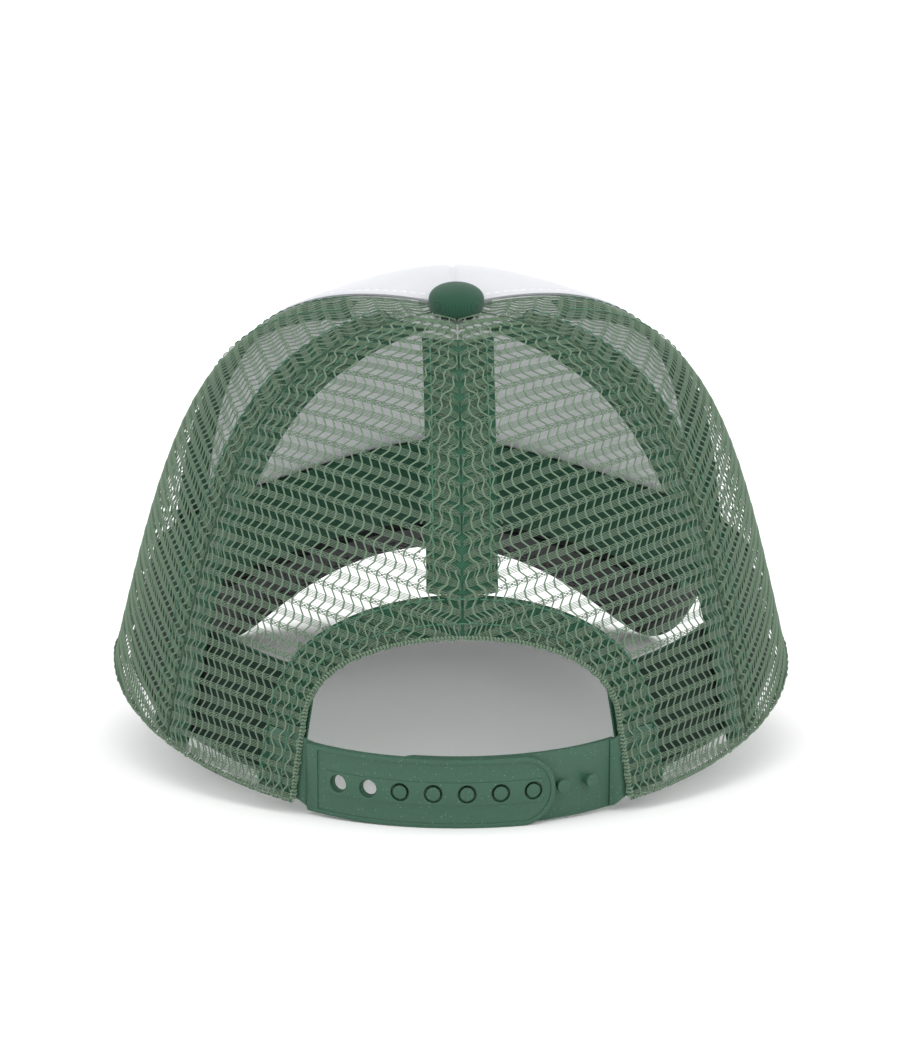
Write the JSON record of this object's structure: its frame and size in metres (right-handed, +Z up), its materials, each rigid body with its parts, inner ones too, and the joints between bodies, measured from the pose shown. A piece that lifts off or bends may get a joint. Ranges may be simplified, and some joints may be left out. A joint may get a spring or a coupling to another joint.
{
  "type": "trucker cap",
  "caption": "Trucker cap with a foam-backed front, open mesh panels, a curved visor, a sweatband and a two-piece snap closure over an arched rear opening.",
  "frame": {"origin": "on the floor under the middle of the cap, which rests on its strap and both visor tips", "axes": "+Y to the front, towards the visor; +X to the wearer's right; +Z up"},
  "size_m": [0.1854, 0.2562, 0.1294],
  "materials": {
    "front_panel": "smooth woven",
    "front_foam": "soft open foam",
    "mesh": "open knitted mesh",
    "seam_tape": "plain woven",
    "sweatband_twill": "cotton twill",
    "lining": "non-woven",
    "visor_board": "smooth",
    "visor_top_cover": "plain woven",
    "visor_under_cover": "plain woven",
    "button_cover": "fine knit",
    "button_metal": "plated",
    "strap_plastic": "satin"
  },
  "bodies": {
    "crown": {"front_panel": "front_panel", "front_foam": "front_foam", "left_side_mesh": "mesh", "right_side_mesh": "mesh", "left_back_mesh": "mesh", "right_back_mesh": "mesh", "left_front_tape": "seam_tape", "right_front_tape": "seam_tape", "left_side_tape": "seam_tape", "right_side_tape": "seam_tape", "back_tape": "seam_tape", "opening_binding": "seam_tape", "sweatband_face": "sweatband_twill", "sweatband_lining": "lining", "visor_board": "visor_board", "visor_top_cover": "visor_top_cover", "visor_under_cover": "visor_under_cover", "button_cover": "button_cover", "button_shell": "button_metal", "button_post": "button_metal", "button_washer": "button_metal", "snap_strap_tab": "strap_plastic", "peg_strap_tab": "strap_plastic"},
    "snap_strap": {"snap_strap": "strap_plastic"},
    "peg_strap": {"peg_strap": "strap_plastic"}
  },
  "joints": [
    {"name": "snap_strap_swing", "type": "hinge", "parent": "crown", "child": "snap_strap", "pos_m": [-0.0378, -0.11213, 0.00988], "axis": [0, 0.0751, -0.9972], "range_deg": [0, 75]},
    {"name": "peg_strap_swing", "type": "hinge", "parent": "crown", "child": "peg_strap", "pos_m": [0.0378, -0.10985, 0.01005], "axis": [0, 0.0751, -0.9972], "range_deg": [0, 100]}
  ]
}
